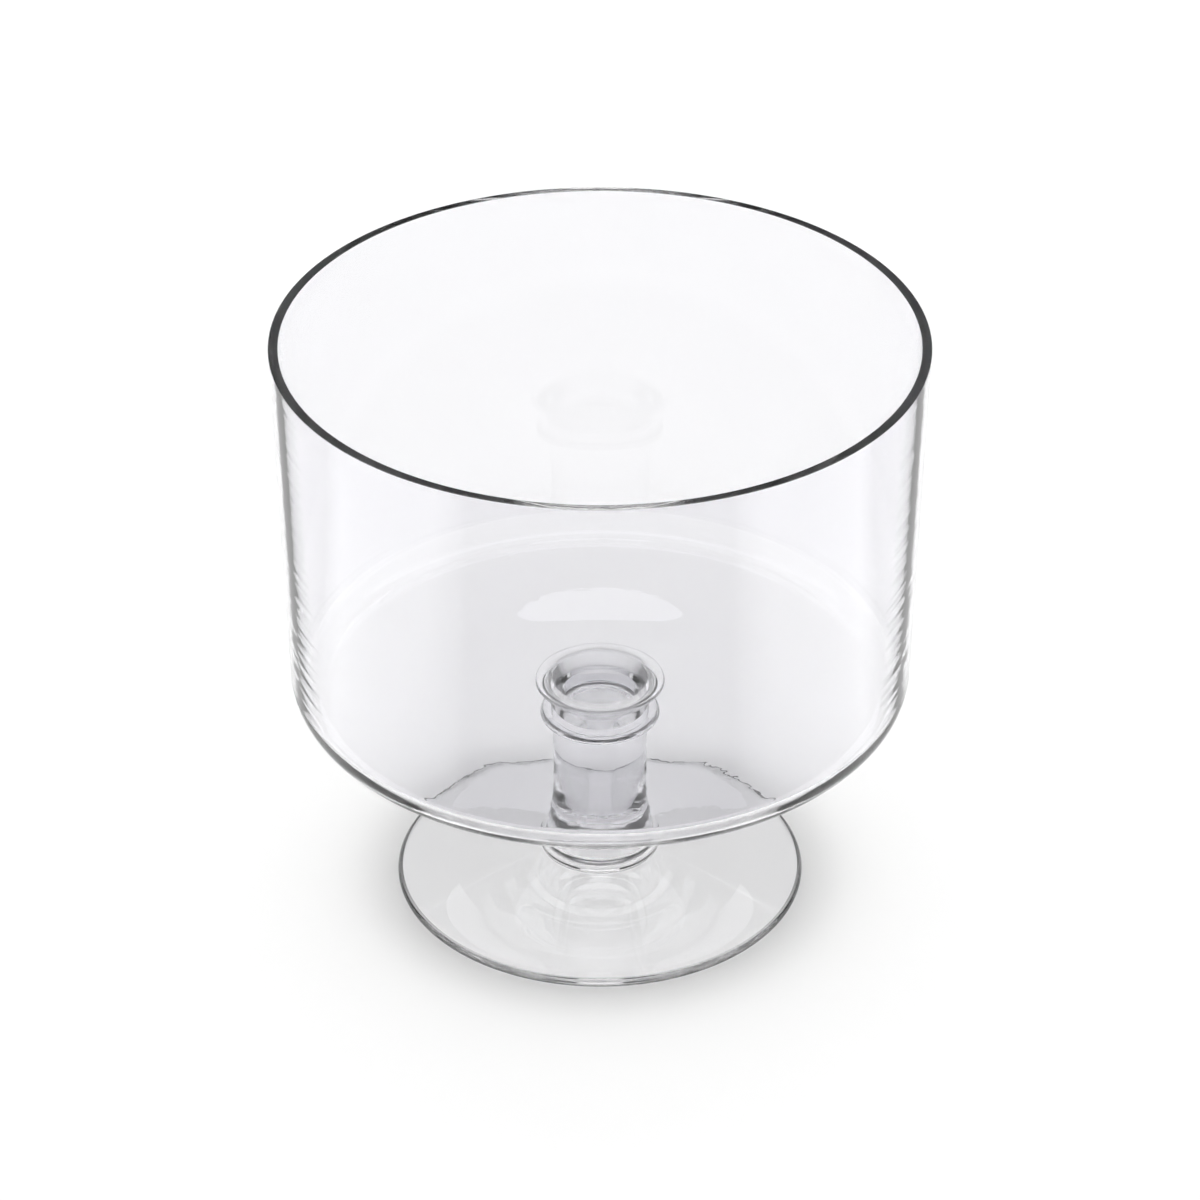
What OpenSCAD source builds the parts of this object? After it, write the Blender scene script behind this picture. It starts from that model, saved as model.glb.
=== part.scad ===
// Footed glass trifle bowl.
// A straight-sided bowl on a short ringed stem and a round foot. The pieces are stacked on the
// Z axis and joined face to face, as hot glass is. The origin is the middle of the foot's underside.

/* [Bowl] */
// Outer diameter of the rim
bowl_d = 200; // [160:1:240]
// Height of the bowl, from the lowest part of its underside to its rim
bowl_h = 124.4; // [90:0.1:160]
// Thickness of the wall
wall_t = 3; // [2:0.1:5]
// Lean of the wall out of the vertical, in degrees
wall_lean = 1.4; // [0.4:0.1:3]
// Radius of the outer heel, where the wall turns into the floor
heel_r = 10.6; // [8:0.1:16]
// Height of the inner heel
heel_inner_h = 7.6; // [4:0.1:12]
// Width of the inner heel, along the floor
heel_inner_w = 10.5; // [6:0.1:14]
// Thickness of the floor at the heel
floor_t = 3.4; // [2.4:0.1:6]
// How far the underside is raised in the middle
floor_rise = 0.9; // [0.2:0.1:3]
// Diameter of the raised part of the underside
floor_rise_d = 124; // [110:1:140]
// How much thicker the floor is in the middle
crown_h = 1.3; // [0.2:0.1:4]
// Diameter of the thicker part
crown_d = 112; // [80:1:130]
// Rounding of the ground and polished rim
rim_r = 0.3; // [0.1:0.1:0.9]

/* [Collar] */
// Diameter of the collar's lip, where it meets the floor
collar_d = 40.6; // [36:0.2:60]
// Height of the collar
collar_h = 9.7; // [7.5:0.1:14]
// Thickness of the rounded lip
lip_t = 1.2; // [0.8:0.1:2.8]
// Diameter of the collar's neck
neck_d = 30.6; // [27:0.2:34]
// Height of the straight part of the neck
neck_h = 3.8; // [1:0.1:4]
// Diameter of the pocket at its mouth
pocket_d = 30; // [26:0.2:34]
// Diameter of the pocket at its shoulder
pocket_shoulder_d = 23.8; // [22.4:0.2:25]
// Depth of the shoulder below the floor
pocket_shoulder_h = 5; // [2:0.1:5.5]
// Diameter of the pocket at its bottom
pocket_floor_d = 20; // [16:0.2:22]

/* [Neck ring] */
// Diameter of the ring under the collar
ring_d = 37; // [34:0.2:50]
// Height of that ring
ring_h = 1.8; // [1.2:0.1:6]
// Height of the plain neck above the ring
ring_neck_h = 0.9; // [0.4:0.1:3]
// Depth of the dimple in its top
dimple_h = 0.8; // [0.2:0.1:1.4]

/* [Stem] */
// Length of the stem
stem_h = 44.1; // [36:0.1:90]
// Diameter of the stem at its waist
stem_d = 29.2; // [26:0.2:29.4]
// Diameter of the stem at its top
stem_top_d = 29.4; // [29:0.2:30.4]
// Diameter of the stem at its flared base
stem_base_d = 34.4; // [31:0.2:35.6]
// Height of the flare at the base
flare_h = 32; // [16:0.1:34]

/* [Base ring] */
// Diameter of the ring on the foot
base_ring_d = 38.7; // [37.6:0.1:50]
// Height of that ring
base_ring_h = 4.5; // [3:0.1:10]
// Height at which it is widest, as a share of its height
base_ring_mid_share = 0.42; // [0.3:0.01:0.7]

/* [Foot] */
// Diameter of the foot
foot_d = 130.4; // [100:0.2:170]
// Height of the foot at its middle
foot_h = 10.7; // [8:0.1:20]
// Thickness of the foot's rounded edge
foot_edge_t = 3; // [2:0.1:5]
// Diameter of the flat seat on top of the foot
foot_seat_d = 37.2; // [35.8:0.2:37.4]

/* [Hidden] */
// Heights at which the pieces meet, from the foot up
base_ring_z = foot_h;
stem_z = base_ring_z + base_ring_h;
neck_ring_z = stem_z + stem_h;
collar_z = neck_ring_z + ring_h + ring_neck_h;
bowl_z = collar_z + collar_h - floor_rise;
// Diameter of the pocket where the collar meets the neck ring
joint_bore_d = pocket_floor_d
    + (pocket_shoulder_d - pocket_floor_d) * dimple_h / (collar_h - pocket_shoulder_h + dimple_h);
// Steps in a quarter turn of a rounded outline, in a long sweep, and across the floor
arc_steps = 10;
sweep_steps = 16;
floor_steps = 28;
// Powers that shape the crown of the floor, the stem's flare and the hollow of the foot's top
crown_share = 1.6;
crown_edge_share = 1.2;
flare_share = 3;
foot_hollow_share = 1.5;
$fn = 180;

// Points of an elliptical arc about [x, z], from angle a0 to angle a1
function arc(x, z, rx, rz, a0, a1) =
    [for (i = [0:arc_steps])
        let (a = a0 + (a1 - a0) * i / arc_steps) [x + rx * cos(a), z + rz * sin(a)]];

// Outline of a ring of height h that bulges to radius r at height mid, between its bottom and its top
function bulge(r_base, r, r_top, h, mid) =
    concat(arc(r_base, mid, r - r_base, mid, -90, 0),
           arc(r_top, mid, r - r_top, h - mid, 0, 90));

// Radius of the bowl's outside at height z above its underside
function bowl_r(z) = bowl_d / 2 - (bowl_h - z) * tan(wall_lean);

// Rise of the underside at radius r: level over the collar, then an even slope down to nothing
function rise(r) =
    let (s = min(1, max(0, (r - collar_d / 2) / (floor_rise_d / 2 - collar_d / 2))))
    floor_rise * (1 + cos(180 * s)) / 2;

// Extra thickness of the floor at radius r
function crown(r) =
    crown_h * pow(max(0, 1 - pow(2 * r / crown_d, crown_share)), crown_edge_share);

module glass() { color([0.86, 0.89, 0.90, 0.45]) rotate_extrude() children(); }

// The bowl's outline runs along the raised underside, round the heel, up the wall, over the rim,
// down the inside and back over the crowned floor
module bowl() {
    heel_x = bowl_r(heel_r) - heel_r / cos(wall_lean);
    inner_z = floor_t + heel_inner_h;
    inner_x = bowl_r(inner_z) - (wall_t + heel_inner_w) / cos(wall_lean);
    rim_x = bowl_d / 2 - wall_t / cos(wall_lean);
    rise_x = [for (i = [0:sweep_steps])
        collar_d / 2 + (floor_rise_d - collar_d) / 2 * i / sweep_steps];
    floor_x = [for (i = [1:floor_steps]) inner_x * (1 - i / floor_steps)];
    translate([0, 0, bowl_z]) glass() polygon(concat(
        [[0, floor_rise]],
        [for (x = rise_x) [x, rise(x)]],
        arc(heel_x, heel_r, heel_r, heel_r, -90, -wall_lean),
        arc(bowl_d / 2 - rim_r, bowl_h - rim_r, rim_r, rim_r, 0, 90),
        arc(rim_x + rim_r, bowl_h - rim_r, rim_r, rim_r, 90, 180),
        arc(inner_x, inner_z, heel_inner_w, heel_inner_h, -wall_lean, -90),
        [for (x = floor_x) [x, floor_t + rise(x) + crown(x)]]));
}

// The collar flares from its neck to a rounded lip under the floor. Its bore narrows downwards.
module collar() {
    lip_x = collar_d / 2 - lip_t / 2;
    flare_top = collar_h - lip_t;
    translate([0, 0, collar_z]) glass() polygon(concat(
        [[joint_bore_d / 2, 0], [neck_d / 2, 0]],
        arc(lip_x, neck_h, lip_x - neck_d / 2, flare_top - neck_h, 180, 90),
        arc(lip_x, collar_h - lip_t / 2, lip_t / 2, lip_t / 2, -90, 90),
        [[pocket_d / 2, collar_h], [pocket_shoulder_d / 2, collar_h - pocket_shoulder_h]]));
}

// The neck ring is a thin rounded fin below a plain neck. The dimple in its top is the pocket's floor.
module neck_ring() {
    top_h = ring_h + ring_neck_h;
    translate([0, 0, neck_ring_z]) glass() polygon(concat(
        [[0, 0]],
        bulge(stem_top_d / 2, ring_d / 2, neck_d / 2, ring_h, ring_h / 2),
        [[neck_d / 2, top_h], [joint_bore_d / 2, top_h]],
        [[pocket_floor_d / 2, top_h - dimple_h], [0, top_h - dimple_h]]));
}

// The stem flares in a long hollow curve to its base and swells slightly to its top
module stem() {
    waist_h = stem_h - flare_h;
    flare = [for (i = [0:sweep_steps])
        let (s = i / sweep_steps)
        [(stem_d + (stem_base_d - stem_d) * pow(1 - s, flare_share)) / 2, flare_h * s]];
    swell = [for (i = [1:arc_steps])
        let (s = i / arc_steps)
        [(stem_d + (stem_top_d - stem_d) * s * s) / 2, flare_h + waist_h * s]];
    translate([0, 0, stem_z]) glass() polygon(concat([[0, 0]], flare, swell, [[0, stem_h]]));
}

// The base ring bulges between the stem and the foot's seat
module base_ring() {
    translate([0, 0, base_ring_z]) glass() polygon(concat(
        [[0, 0]],
        bulge(foot_seat_d / 2, base_ring_d / 2, stem_base_d / 2,
              base_ring_h, base_ring_h * base_ring_mid_share),
        [[0, base_ring_h]]));
}

// The foot's top falls in a hollow sweep from its seat to a rounded edge. Its underside is flat.
module foot() {
    edge_r = foot_edge_t / 2;
    edge_x = foot_d / 2 - edge_r;
    seat_r = foot_seat_d / 2;
    sweep = [for (i = [1:sweep_steps])
        let (s = i / sweep_steps)
        [edge_x + (seat_r - edge_x) * s,
         foot_edge_t + (foot_h - foot_edge_t) * pow(s, foot_hollow_share)]];
    glass() polygon(concat(
        [[0, 0]],
        arc(edge_x, edge_r, edge_r, edge_r, -90, 90),
        sweep,
        [[0, foot_h]]));
}

bowl();
collar();
neck_ring();
stem();
base_ring();
foot();
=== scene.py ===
"""Clear glass trifle bowl on a ringed stem: its looks, floor, studio light and camera."""
import math

import bpy
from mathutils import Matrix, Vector


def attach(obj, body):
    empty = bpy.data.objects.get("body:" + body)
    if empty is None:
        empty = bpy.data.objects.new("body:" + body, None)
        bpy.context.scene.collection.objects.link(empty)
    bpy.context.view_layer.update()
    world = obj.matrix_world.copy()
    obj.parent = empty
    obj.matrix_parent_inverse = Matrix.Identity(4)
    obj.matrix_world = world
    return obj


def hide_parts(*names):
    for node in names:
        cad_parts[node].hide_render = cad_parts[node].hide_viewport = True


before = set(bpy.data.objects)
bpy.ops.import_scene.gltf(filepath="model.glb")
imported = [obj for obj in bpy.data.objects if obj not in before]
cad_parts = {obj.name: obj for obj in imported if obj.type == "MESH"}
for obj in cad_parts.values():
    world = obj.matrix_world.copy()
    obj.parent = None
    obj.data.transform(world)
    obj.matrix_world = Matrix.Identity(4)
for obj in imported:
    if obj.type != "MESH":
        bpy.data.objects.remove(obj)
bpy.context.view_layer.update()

MM = 0.001

# Sizes in millimetres, as in the part's source
bowl_d, bowl_h, wall_t, wall_lean = 200, 124.4, 3, math.radians(1.4)
heel_r, heel_inner_h, heel_inner_w = 10.6, 7.6, 10.5
floor_t, floor_rise, floor_rise_d, crown_h, crown_d = 3.4, 0.9, 124, 1.3, 112
crown_power, crown_edge_power, rim_r = 1.6, 1.2, 0.3
collar_d, collar_h, lip_t, neck_d, neck_h = 40.6, 9.7, 1.2, 30.6, 3.8
pocket_d, pocket_shoulder_d, pocket_shoulder_h, pocket_floor_d = 30, 23.8, 5, 20
ring_d, ring_h, ring_neck_h, dimple_h = 37, 1.8, 0.9, 0.8
stem_h, stem_d, stem_top_d, stem_base_d, flare_h, flare_power = 44.1, 29.2, 29.4, 34.4, 32, 3
base_ring_d, base_ring_h, base_ring_mid = 38.7, 4.5, 0.42
foot_d, foot_h, foot_edge_t, foot_seat_d, foot_power = 130.4, 10.7, 3, 37.2, 1.5
base_ring_z = foot_h
stem_z = base_ring_z + base_ring_h
neck_ring_z = stem_z + stem_h
collar_z = neck_ring_z + ring_h + ring_neck_h
bowl_z = collar_z + collar_h - floor_rise
joint_bore_d = pocket_floor_d + (pocket_shoulder_d - pocket_floor_d) * dimple_h / (
    collar_h - pocket_shoulder_h + dimple_h)

# Meshes
RINGS = 360          # faces round each turned piece
HOLD = 0.02          # mm from an edge to the points that keep the straight glass beside it flat
HOLD_SHARE = 0.2     # the most that this may be of a short stretch's length
AXIS = 1e-6          # mm: a point nearer to the axis than this is the pole of the piece
SAME_POINT = 0.002   # mm: points of an outline that are nearer than this are one
CREASE = 24          # degrees between two faces that meet in a sharp edge
ARC_STEPS, RIM_STEPS, FOOT_EDGE_STEPS, COLLAR_STEPS, HEEL_STEPS = 12, 6, 20, 24, 32
SLOPE_STEPS, SWEEP_STEPS, FLOOR_STEPS = 40, 64, 96

# How much more than clear glass a face shades the floor, or JOINT for a face inside a hot joint
JOINT, CLEAR = -1, 0
# The pocket's wall and the foot's edge shade more than THICK_SHADE, so they also take painted shade
FOOT_SHADE, FLOOR_SHADE, HEEL_SHADE, POCKET_SHADE, FOOT_EDGE_SHADE = 0.13, 0.34, 0.7, 0.95, 1
SHADOW_CLEAR = 0.985  # share of the light that each clear face lets down to the floor

# Glass
IOR = 1.5
BODY, WALL_PAINTED_SHADE = (0.989, 0.988, 1, 1), (0.915, 0.913, 0.932, 1)  # its colour, and the grey of painted shade on its upright faces
UPRIGHT = ((0, 1), (0.25, 1), (0.5, 0))  # how upright a face counts, by the size of its normal's Z
# Painted shade: the grey streak on an upright wall, by how nearly it is seen edge-on
EDGE_ON = ((0, 1), (0.68, 1), (0.74, 0.6), (0.775, 0), (0.845, 0), (0.865, 0.9), (0.94, 0.9), (1, 0.3))
# Painted shade: the same kind of greys for the foot's edge and the pocket's wall
THICK_PAINTED_SHADE = ((0, 0.9), (0.25, 0.7), (0.42, 0.12), (0.75, 0.12), (0.9, 0.45), (1, 0.45))
THICK_SHADE = 0.9    # faces that shade the floor more than this also take the painted shade greys above
OUTWARD = 0.02       # m: a face is an outside one if it lies further than this along its own normal

# The mould's waves: their number in a metre along each axis, and their depth in mm
WAVE_SCALE, WAVE_DEPTH, WAVE_DETAIL = (160, 160, 400), 0.035, 2
SIDE_SHIFT = (3, 3, 3)  # moves the waves along the normal, so that each side has its own
STILL, WALL_WAVES, STEM_WAVES = 0, 0.5, 0.6
WAVES_FROM_R, WAVES_GROW, WAVES_TO_R, WAVES_END = 46, 8, 88, 5  # mm, on the bowl's floor
RIM_FADE, RIM_STILL = 12, 0.1  # mm below the rim over which the waves grow, and the still share
# Ripples that only bend the normal read by the painted edge-on shade
RIPPLE_SCALE, RIPPLE_DEPTH, RIPPLE_DETAIL = (25, 25, 300), 0.45, 1
RIPPLES_HIGH, RIPPLES_LOW, RIPPLES_LEAST = 0.15, 0.1, 0.25  # m: least above, full below

# Floor, in metres. Only reflected rays see the painted reflection of a dark wedge in front and the
# painted glowing pools beside it.
PAPER = 0.8          # its white
PAPER_HALF, PAPER_DROP = 3, 0.3 * MM
WEDGE_SLOPE, WEDGE_EDGE, FRONT_DARK = 0.95, 0.02, 0.7
POOL, POOL_EDGE, POOL_BACK = 1, 0.08, 0.05
POOL_LEAST = 0.14    # the pools start at the wedge, but never nearer to the middle than this
POOL_OUTER, POOL_INNER = 0.6, 0.45  # distance at which they end, and at which they start to fade

# Light
SKY = 19
SKY_HEIGHTS = ((0, 1), (0.12, 1), (0.3, 0.02), (1, 0.02))  # the sky's level by height, for the floor
ROOM = ((0, 1), (0.06, 1), (0.09, 0), (1, 0))  # the room's grey by height, for rays from the glass
SOFTBOXES = (
    ("behind_low", (0, 2, 0.72), 0.75, 0.6, 1.1),
    ("behind_high", (0, 1, 1.65), 2, 0.45, 1))
AIM = (0, 0, 0.1)
BOUNCES = 96         # with few of them the rim turns black

# Camera, fitted to the photograph: pixels, degrees and metres
FOCAL, PITCH, DISTANCE, HEIGHT = 4650, 32.21, 1.2276, 0.87549
IMAGE, SENSOR = 1200, 36


# Outlines, in millimetres: lists of (radius, height)
def arc(x, z, rx, rz, start, end, steps=ARC_STEPS):
    turn = [math.radians(start + (end - start) * i / steps) for i in range(steps + 1)]
    return [(x + rx * math.cos(a), z + rz * math.sin(a)) for a in turn]


def bulge(r_base, r, r_top, h, mid):
    return (arc(r_base, mid, r - r_base, mid, -90, 0)
            + arc(r_top, mid, r - r_top, h - mid, 0, 90))


def straight(a, b):
    """A straight stretch, held flat by a ring of points close to each end."""
    share = min(HOLD_SHARE, HOLD / math.dist(a, b))
    near = tuple(p + (q - p) * share for p, q in zip(a, b))
    far = tuple(q + (p - q) * share for p, q in zip(a, b))
    return [a, near, far, b]


def joined(base_z, runs):
    """Puts runs of (points, shade) end to end, raised by base_z, with one shade for each stretch."""
    outline, shades = [], []
    for points, shade in runs:
        for r, z in points:
            point = (r, z + base_z)
            if outline and math.dist(outline[-1], point) < SAME_POINT:
                continue
            if outline:
                shades.append(shade)
            outline.append(point)
    return outline, shades


def turned(name, base_z, runs, waves=lambda r, z: STILL):
    """Turns an outline round the Z axis. Waves gives the strength of the mould's waves at a point."""
    outline, shades = joined(base_z, runs)
    closed = outline[0][0] > AXIS or outline[-1][0] > AXIS
    if closed and math.dist(outline[0], outline[-1]) < SAME_POINT:
        outline.pop()
    verts, rings, wavy = [], [], []
    for r, z in outline:
        count = 1 if r < AXIS else RINGS
        rings.append(list(range(len(verts), len(verts) + count)))
        wavy += [waves(r, z)] * count
        if r < AXIS:
            verts.append((0, 0, z * MM))
            continue
        for k in range(RINGS):
            angle = 2 * math.pi * k / RINGS
            verts.append((r * MM * math.cos(angle), r * MM * math.sin(angle), z * MM))
    faces, marks = [], []
    for low, high, shade in zip(rings, rings[1:] + ([rings[0]] if closed else []), shades):
        for k in range(RINGS):
            n = (k + 1) % RINGS
            corners = [low[0]] if len(low) == 1 else [low[k], low[n]]
            corners += [high[0]] if len(high) == 1 else [high[n], high[k]]
            faces.append(corners)
            marks.append(shade)
    mesh = bpy.data.meshes.new(name)
    mesh.from_pydata(verts, [], faces)
    mesh.update()
    mesh.polygons.foreach_set("use_smooth", [True] * len(mesh.polygons))
    mesh.set_sharp_from_angle(angle=math.radians(CREASE))
    joints = [float(shade == JOINT) for shade in marks]
    mesh.attributes.new("fused_joint", "FLOAT", "FACE").data.foreach_set("value", joints)
    held = [max(CLEAR, shade) for shade in marks]
    mesh.attributes.new("floor_shade", "FLOAT", "FACE").data.foreach_set("value", held)
    mesh.attributes.new("mould_waves", "FLOAT", "POINT").data.foreach_set("value", wavy)
    piece = bpy.data.objects.new(name, mesh)
    bpy.context.scene.collection.objects.link(piece)
    return piece


# Pieces
def bowl_outside_r(z):
    return bowl_d / 2 - (bowl_h - z) * math.tan(wall_lean)


def rise(r):
    share = min(1, max(0, (r - collar_d / 2) / (floor_rise_d / 2 - collar_d / 2)))
    return floor_rise * (1 + math.cos(math.pi * share)) / 2


def crown(r):
    return crown_h * max(0, 1 - (2 * r / crown_d) ** crown_power) ** crown_edge_power


def bowl_waves(r, z):
    """None over the stem, full on the floor round it, weak up the wall and none at the rim."""
    if z > bowl_z + floor_t + heel_inner_h:
        return WALL_WAVES * min(1, max(0, (bowl_z + bowl_h - z) / RIM_FADE - RIM_STILL))
    return min(1, max(0, (r - WAVES_FROM_R) / WAVES_GROW), max(0, (WAVES_TO_R - r) / WAVES_END))


def make_bowl():
    lean = math.degrees(wall_lean)
    cos_lean = math.cos(wall_lean)
    heel_x = bowl_outside_r(heel_r) - heel_r / cos_lean
    inner_z = floor_t + heel_inner_h
    inner_x = bowl_outside_r(inner_z) - (wall_t + heel_inner_w) / cos_lean
    rim_x = bowl_d / 2 - wall_t / cos_lean
    weld_r = (collar_d - lip_t) / 2
    slope = [collar_d / 2 + (floor_rise_d - collar_d) / 2 * i / SLOPE_STEPS
             for i in range(SLOPE_STEPS + 1)]
    heel = arc(heel_x, heel_r, heel_r, heel_r, -90, -lean, HEEL_STEPS)
    rim_outside = arc(bowl_d / 2 - rim_r, bowl_h - rim_r, rim_r, rim_r, 0, 90, RIM_STEPS)
    rim_inside = arc(rim_x + rim_r, bowl_h - rim_r, rim_r, rim_r, 90, 180, RIM_STEPS)
    inner = arc(inner_x, inner_z, heel_inner_w, heel_inner_h, -lean, -90, HEEL_STEPS)
    across = [inner_x * (1 - i / FLOOR_STEPS) for i in range(FLOOR_STEPS + 1)]
    return turned("glass_bowl", bowl_z, [
        (straight((0, floor_rise), (pocket_d / 2, floor_rise)), CLEAR),
        (straight((pocket_d / 2, floor_rise), (weld_r, floor_rise)), JOINT),
        (straight((weld_r, floor_rise), (collar_d / 2, floor_rise)), CLEAR),
        ([(r, rise(r)) for r in slope], FLOOR_SHADE),
        (straight((floor_rise_d / 2, 0), (heel_x, 0)), FLOOR_SHADE),
        (heel, HEEL_SHADE),
        (straight(heel[-1], rim_outside[0]), CLEAR),
        (rim_outside, HEEL_SHADE),
        (straight(rim_outside[-1], rim_inside[0]), CLEAR),
        (rim_inside, HEEL_SHADE),
        (straight(rim_inside[-1], inner[0]), CLEAR),
        (inner, HEEL_SHADE),
        ([(r, floor_t + rise(r) + crown(r)) for r in across], FLOOR_SHADE)], bowl_waves)


def make_collar():
    lip_x = (collar_d - lip_t) / 2
    lip_z = collar_h - lip_t
    shoulder = (pocket_shoulder_d / 2, collar_h - pocket_shoulder_h)
    return turned("glass_collar", collar_z, [
        (straight((joint_bore_d / 2, 0), (neck_d / 2, 0)), JOINT),
        (straight((neck_d / 2, 0), (neck_d / 2, neck_h)), CLEAR),
        (arc(lip_x, neck_h, lip_x - neck_d / 2, lip_z - neck_h, 180, 90, COLLAR_STEPS), CLEAR),
        (arc(lip_x, collar_h - lip_t / 2, lip_t / 2, lip_t / 2, -90, 90), CLEAR),
        (straight((lip_x, collar_h), (pocket_d / 2, collar_h)), JOINT),
        # the pocket's wall takes painted shade, as its shade is above THICK_SHADE
        (straight((pocket_d / 2, collar_h), shoulder), POCKET_SHADE),
        (straight(shoulder, (joint_bore_d / 2, 0)), CLEAR)])


def make_neck_ring():
    top_h = ring_h + ring_neck_h
    dimple_z = top_h - dimple_h
    return turned("glass_neck_ring", neck_ring_z, [
        (straight((0, 0), (stem_top_d / 2, 0)), JOINT),
        (bulge(stem_top_d / 2, ring_d / 2, neck_d / 2, ring_h, ring_h / 2), CLEAR),
        (straight((neck_d / 2, ring_h), (neck_d / 2, top_h)), CLEAR),
        (straight((neck_d / 2, top_h), (joint_bore_d / 2, top_h)), JOINT),
        (straight((joint_bore_d / 2, top_h), (pocket_floor_d / 2, dimple_z)), CLEAR),
        (straight((pocket_floor_d / 2, dimple_z), (0, dimple_z)), CLEAR)])


def make_stem():
    flare = [((stem_d + (stem_base_d - stem_d) * (1 - i / SWEEP_STEPS) ** flare_power) / 2,
              flare_h * i / SWEEP_STEPS) for i in range(SWEEP_STEPS + 1)]
    swell = [((stem_d + (stem_top_d - stem_d) * (i / ARC_STEPS) ** 2) / 2,
              flare_h + (stem_h - flare_h) * i / ARC_STEPS) for i in range(ARC_STEPS + 1)]
    return turned("glass_stem", stem_z, [
        (straight((0, 0), (stem_base_d / 2, 0)), JOINT),
        (flare, CLEAR),
        (swell, CLEAR),
        (straight((stem_top_d / 2, stem_h), (0, stem_h)), JOINT)], lambda r, z: STEM_WAVES)


def make_base_ring():
    mid = base_ring_h * base_ring_mid
    return turned("glass_base_ring", base_ring_z, [
        (straight((0, 0), (foot_seat_d / 2, 0)), JOINT),
        (bulge(foot_seat_d / 2, base_ring_d / 2, stem_base_d / 2, base_ring_h, mid), CLEAR),
        (straight((stem_base_d / 2, base_ring_h), (0, base_ring_h)), JOINT)])


def make_foot():
    edge_r = foot_edge_t / 2
    edge_x = foot_d / 2 - edge_r
    seat_r = foot_seat_d / 2
    sweep = [(edge_x + (seat_r - edge_x) * i / SWEEP_STEPS,
              foot_edge_t + (foot_h - foot_edge_t) * (i / SWEEP_STEPS) ** foot_power)
             for i in range(SWEEP_STEPS + 1)]
    return turned("glass_foot", 0, [
        (straight((0, 0), (edge_x, 0)), FOOT_SHADE),
        # the foot's edge takes painted shade, as its shade is above THICK_SHADE
        (arc(edge_x, edge_r, edge_r, edge_r, -90, 90, FOOT_EDGE_STEPS), FOOT_EDGE_SHADE),
        (sweep, CLEAR),
        (straight((seat_r, foot_h), (0, foot_h)), JOINT)])


# Nodes. Where a helper takes a value, it is plain numbers or another node's socket.
def add_node(tree, kind, **settings):
    made = tree.nodes.new(kind)
    for key, value in settings.items():
        setattr(made, key, value)
    return made


def feed(tree, slot, value):
    if isinstance(value, (int, float, tuple)):
        slot.default_value = value
    else:
        tree.links.new(value, slot)


def math_node(tree, operation, first, second=0):
    made = add_node(tree, "ShaderNodeMath", operation=operation)
    feed(tree, made.inputs[0], first)
    feed(tree, made.inputs[1], second)
    return made.outputs[0]


def one_minus(tree, value):
    return math_node(tree, "SUBTRACT", 1, value)


def vector_node(tree, operation, first, second=(0, 0, 0)):
    made = add_node(tree, "ShaderNodeVectorMath", operation=operation)
    feed(tree, made.inputs[0], first)
    feed(tree, made.inputs[1], second)
    return made.outputs["Value" if operation in ("DOT_PRODUCT", "LENGTH") else "Vector"]


def axes_of(tree, vector):
    made = add_node(tree, "ShaderNodeSeparateXYZ")
    tree.links.new(vector, made.inputs[0])
    return made.outputs


def map_range(tree, value, start, end, low, high):
    """Runs from low at start to high at end, and stays level beyond them."""
    made = add_node(tree, "ShaderNodeMapRange")
    for slot, number in zip(("From Min", "From Max", "To Min", "To Max"), (start, end, low, high)):
        made.inputs[slot].default_value = number
    tree.links.new(value, made.inputs["Value"])
    return made.outputs[0]


def grey_ramp(tree, value, stops):
    ramp = add_node(tree, "ShaderNodeValToRGB")
    while len(ramp.color_ramp.elements) < len(stops):
        ramp.color_ramp.elements.new(0.5)
    for element, (place, grey) in zip(ramp.color_ramp.elements, stops):
        element.position = place
        element.color = (grey, grey, grey, 1)
    tree.links.new(value, ramp.inputs[0])
    return ramp.outputs[0]


def mix_colours(tree, share, first, second, blend="MIX"):
    made = add_node(tree, "ShaderNodeMix", data_type="RGBA", blend_type=blend)
    share_slot, first_slot, second_slot = made.inputs[0], made.inputs[6], made.inputs[7]
    feed(tree, share_slot, share)
    feed(tree, first_slot, first)
    feed(tree, second_slot, second)
    return made.outputs[2]


def noise(tree, where, detail):
    made = add_node(tree, "ShaderNodeTexNoise")
    made.inputs["Scale"].default_value = 1
    made.inputs["Detail"].default_value = detail
    tree.links.new(where, made.inputs["Vector"])
    return made.outputs[0]


def bump(tree, height, depth):
    made = add_node(tree, "ShaderNodeBump")
    made.inputs["Strength"].default_value = 1
    made.inputs["Distance"].default_value = depth * MM
    tree.links.new(height, made.inputs["Height"])
    return made.outputs[0]


def face_mark(tree, name):
    return add_node(tree, "ShaderNodeAttribute", attribute_name=name).outputs["Fac"]


# Clear glass
def ripples(tree, place):
    """Level ripples low on the wall. They bend only the normal that the painted edge-on shade reads,
    which shows them as a comb of dark strokes where the wall turns away.
    """
    spread = vector_node(tree, "MULTIPLY", place.outputs["Object"], RIPPLE_SCALE)
    height = axes_of(tree, place.outputs["Object"])["Z"]
    low = map_range(tree, height, RIPPLES_HIGH, RIPPLES_LOW, RIPPLES_LEAST, 1)
    return bump(tree, math_node(tree, "MULTIPLY", noise(tree, spread, RIPPLE_DETAIL), low), RIPPLE_DEPTH)


def mould_waves(tree, place):
    """Slow waves left by the mould, of their own on each side of the glass."""
    spread = vector_node(tree, "MULTIPLY", place.outputs["Object"], WAVE_SCALE)
    side = vector_node(tree, "MULTIPLY", place.outputs["Normal"], SIDE_SHIFT)
    waves = noise(tree, vector_node(tree, "ADD", spread, side), WAVE_DETAIL)
    return bump(tree, math_node(tree, "MULTIPLY", waves, face_mark(tree, "mould_waves")), WAVE_DEPTH)


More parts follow.
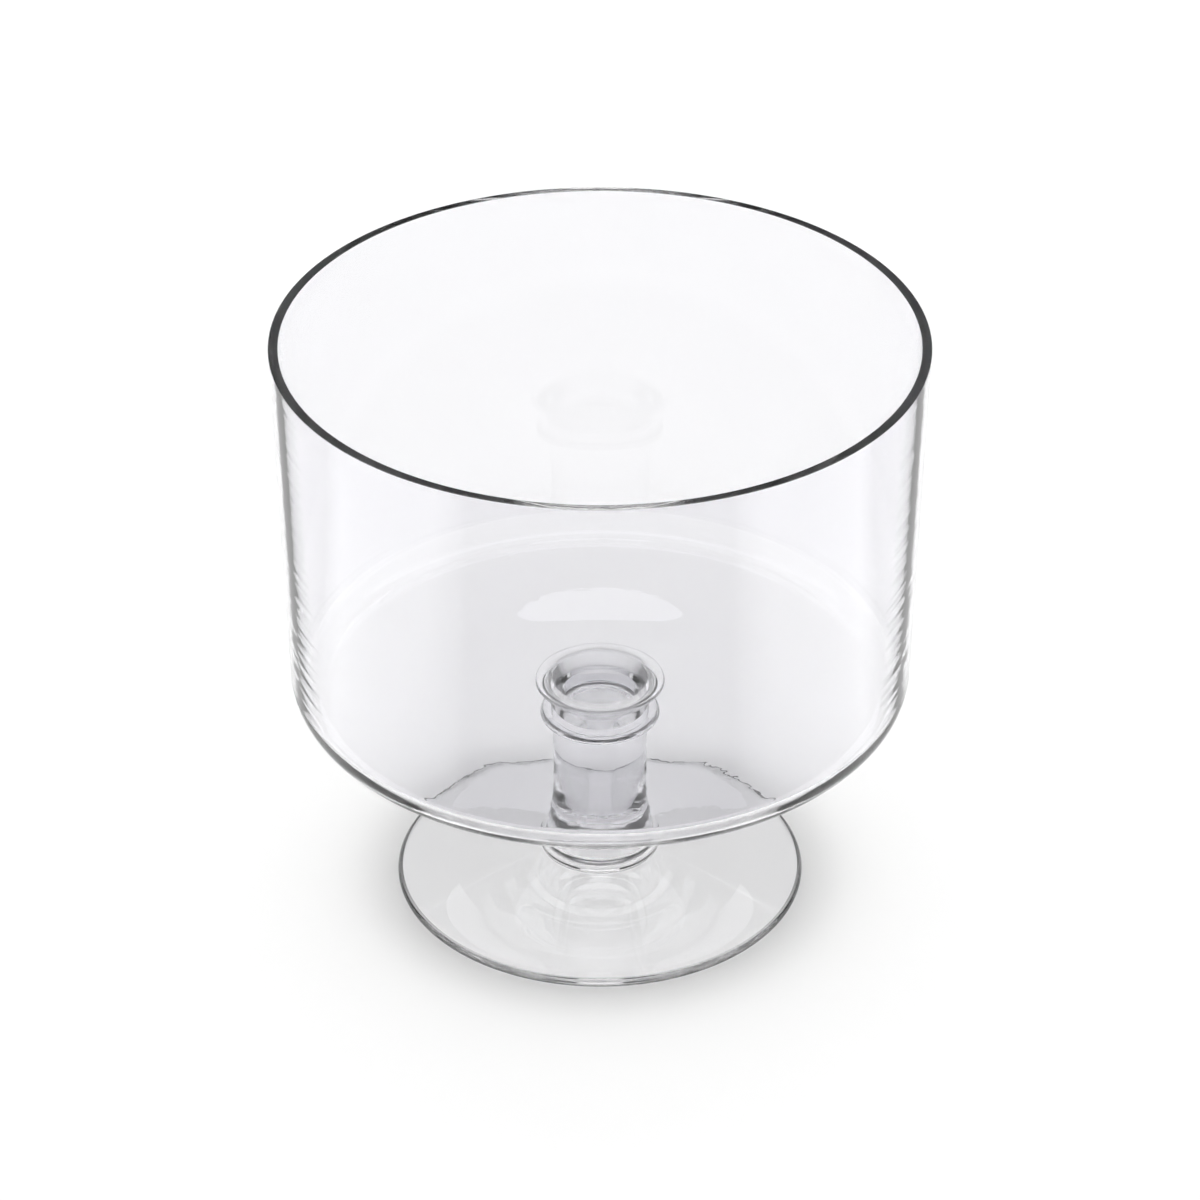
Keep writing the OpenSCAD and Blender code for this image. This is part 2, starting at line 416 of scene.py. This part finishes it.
def glass_colour(tree, place, backfacing, shade):
    """Clear, with painted shade: greyer on upright faces, and darker where a wall, the foot's edge or the
    pocket's wall is seen nearly edge-on.
    """
    level = math_node(tree, "ABSOLUTE", axes_of(tree, place.outputs["Normal"])["Z"])
    upright = grey_ramp(tree, level, UPRIGHT)
    facing_out = vector_node(tree, "DOT_PRODUCT", place.outputs["Normal"], place.outputs["Object"])
    outside = math_node(tree, "GREATER_THAN", facing_out, OUTWARD)
    # painted shade: upright faces are streaked grey where seen nearly edge-on
    painted_streaks = math_node(tree, "MULTIPLY", upright, math_node(tree, "MAXIMUM", outside, backfacing))
    slant = add_node(tree, "ShaderNodeLayerWeight")
    slant.inputs["Blend"].default_value = 0.5
    tree.links.new(ripples(tree, place), slant.inputs["Normal"])
    painted_edge_shade = grey_ramp(tree, slant.outputs["Facing"], EDGE_ON)
    # painted shade: dark lines on the foot's edge and the pocket's wall
    painted_thick_shade = grey_ramp(tree, slant.outputs["Facing"], THICK_PAINTED_SHADE)
    # painted shade: upright faces are tinted grey
    colour = mix_colours(tree, upright, BODY, WALL_PAINTED_SHADE)
    colour = mix_colours(tree, painted_streaks, colour, painted_edge_shade, "MULTIPLY")
    is_thick = math_node(tree, "GREATER_THAN", shade, THICK_SHADE)
    return mix_colours(tree, is_thick, colour, painted_thick_shade, "MULTIPLY")


def glass_alpha(tree, backfacing, shade):
    """None inside a hot joint. Light for the floor passes straight through, less of it by floor_shade."""
    path = add_node(tree, "ShaderNodeLightPath")
    for_floor = math_node(tree, "MAXIMUM", path.outputs["Is Shadow Ray"], path.outputs["Is Diffuse Ray"])
    held = math_node(tree, "MULTIPLY", shade, one_minus(tree, backfacing))
    let_by = math_node(tree, "MULTIPLY", one_minus(tree, held), SHADOW_CLEAR)
    lets_light_by = math_node(tree, "MULTIPLY", for_floor, let_by)
    solid = one_minus(tree, face_mark(tree, "fused_joint"))
    return math_node(tree, "MULTIPLY", solid, one_minus(tree, lets_light_by))


def clear_glass():
    glass = bpy.data.materials.new("clear_glass")
    glass.use_nodes = True
    tree = glass.node_tree
    shader = tree.nodes["Principled BSDF"]
    shader.inputs["Roughness"].default_value = 0
    shader.inputs["IOR"].default_value = IOR
    shader.inputs["Transmission Weight"].default_value = 1
    place = add_node(tree, "ShaderNodeTexCoord")
    backfacing = add_node(tree, "ShaderNodeNewGeometry").outputs["Backfacing"]
    shade = face_mark(tree, "floor_shade")
    tree.links.new(glass_colour(tree, place, backfacing, shade), shader.inputs["Base Color"])
    tree.links.new(mould_waves(tree, place), shader.inputs["Normal"])
    tree.links.new(glass_alpha(tree, backfacing, shade), shader.inputs["Alpha"])
    return glass


# Studio
def white_paper():
    """White. As mirrored in the bowl, it is painted dark in a wedge in front and painted to glow at both
    sides of it.
    """
    paper = bpy.data.materials.new("white_paper")
    paper.use_nodes = True
    tree = paper.node_tree
    shader = tree.nodes["Principled BSDF"]
    shader.inputs["Roughness"].default_value = 1
    shader.inputs["Specular IOR Level"].default_value = 0
    shader.inputs["Emission Color"].default_value = (1, 1, 1, 1)
    mirrored = add_node(tree, "ShaderNodeLightPath").outputs["Is Reflection Ray"]
    place = add_node(tree, "ShaderNodeTexCoord").outputs["Object"]
    across = axes_of(tree, place)
    side = math_node(tree, "ABSOLUTE", across["X"])
    ahead = math_node(tree, "MULTIPLY", across["Y"], -WEDGE_SLOPE)

    # painted reflection: reflected rays see the paper darker in a wedge in front
    in_wedge = math_node(tree, "SUBTRACT", ahead, side)
    dark = map_range(tree, in_wedge, 0, WEDGE_EDGE, 0, FRONT_DARK)
    dark = math_node(tree, "MULTIPLY", mirrored, dark)
    white = math_node(tree, "MULTIPLY", one_minus(tree, dark), PAPER)
    tree.links.new(white, shader.inputs["Base Color"])

    # painted light: reflected rays see the paper glow in pools beside the wedge
    beside = math_node(tree, "SUBTRACT", math_node(tree, "MAXIMUM", ahead, POOL_LEAST), side)
    painted_pool_glow = map_range(tree, beside, 0, -POOL_EDGE, 0, POOL)
    behind = map_range(tree, across["Y"], 0, POOL_BACK, 0, 1)
    painted_pool_glow = math_node(tree, "MULTIPLY", painted_pool_glow, one_minus(tree, behind))
    near = map_range(tree, vector_node(tree, "LENGTH", place), POOL_OUTER, POOL_INNER, 0, 1)
    painted_pool_glow = math_node(tree, "MULTIPLY", painted_pool_glow, near)
    tree.links.new(math_node(tree, "MULTIPLY", mirrored, painted_pool_glow), shader.inputs["Emission Strength"])
    return paper


def white_sweep():
    corners = [(x * PAPER_HALF, y * PAPER_HALF, 0) for x, y in ((-1, -1), (1, -1), (1, 1), (-1, 1))]
    mesh = bpy.data.meshes.new("floor")
    mesh.from_pydata(corners, [], [(0, 1, 2, 3)])
    mesh.materials.append(white_paper())
    sweep = bpy.data.objects.new("floor", mesh)
    sweep.location.z = -PAPER_DROP
    bpy.context.scene.collection.objects.link(sweep)


def studio_world():
    """White to the camera, a low bright sky for the floor, and a room for rays that leave the glass.

    The room is white near the horizon and dark above it.
    """
    world = bpy.data.worlds.new("studio")
    bpy.context.scene.world = world
    world.use_nodes = True
    tree = world.node_tree
    background = tree.nodes["Background"]
    background.inputs["Color"].default_value = (1, 1, 1, 1)
    height = axes_of(tree, add_node(tree, "ShaderNodeTexCoord").outputs["Generated"])["Z"]
    path = add_node(tree, "ShaderNodeLightPath").outputs
    seen = path["Is Camera Ray"]
    in_glass = math_node(tree, "MAXIMUM", path["Is Glossy Ray"], path["Is Transmission Ray"])
    in_glass = math_node(tree, "MULTIPLY", in_glass, one_minus(tree, seen))
    sky = math_node(tree, "MULTIPLY", grey_ramp(tree, height, SKY_HEIGHTS), SKY)
    sky = math_node(tree, "MULTIPLY", sky, one_minus(tree, seen))
    sky = math_node(tree, "MAXIMUM", sky, seen)
    open_sky = math_node(tree, "MULTIPLY", one_minus(tree, in_glass), sky)
    room = math_node(tree, "MULTIPLY", in_glass, grey_ramp(tree, height, ROOM))
    tree.links.new(math_node(tree, "ADD", open_sky, room), background.inputs["Strength"])


def softbox(name, place, width, height, level):
    """A soft lamp that faces the bowl. Its level is its brightness, where 1 is white."""
    light = bpy.data.lights.new(name, "AREA")
    light.shape = "RECTANGLE"
    light.size, light.size_y = width, height
    light.energy = level * math.pi * width * height
    lamp = bpy.data.objects.new(name, light)
    lamp.location = place
    lamp.rotation_euler = (Vector(AIM) - Vector(place)).to_track_quat("-Z", "Y").to_euler()
    bpy.context.scene.collection.objects.link(lamp)
    lamp.visible_camera = False


def place_camera():
    camera = bpy.data.cameras.new("camera")
    camera.sensor_width = SENSOR
    camera.lens = SENSOR * FOCAL / IMAGE
    camera.clip_start, camera.clip_end = 0.01, 50
    stand = bpy.data.objects.new("camera", camera)
    stand.location = (0, -DISTANCE, HEIGHT)
    stand.rotation_euler = (math.radians(90 - PITCH), 0, 0)
    bpy.context.scene.collection.objects.link(stand)
    bpy.context.scene.camera = stand


place_camera()
glass = clear_glass()
makers = {"bowl": make_bowl, "collar": make_collar, "neck_ring": make_neck_ring,
          "stem": make_stem, "base_ring": make_base_ring, "foot": make_foot}
for node, make in makers.items():
    piece = make()
    piece.data.materials.append(glass)
    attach(piece, "root")
    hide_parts(node)
white_sweep()
studio_world()
for name, place, width, height, level in SOFTBOXES:
    softbox(name, place, width, height, level)

scene = bpy.context.scene
scene.view_settings.view_transform = "Standard"
scene.cycles.max_bounces = BOUNCES
scene.cycles.transmission_bounces = BOUNCES
scene.cycles.glossy_bounces = BOUNCES
scene.cycles.transparent_max_bounces = BOUNCES
scene.cycles.caustics_refractive = False
scene.cycles.caustics_reflective = False
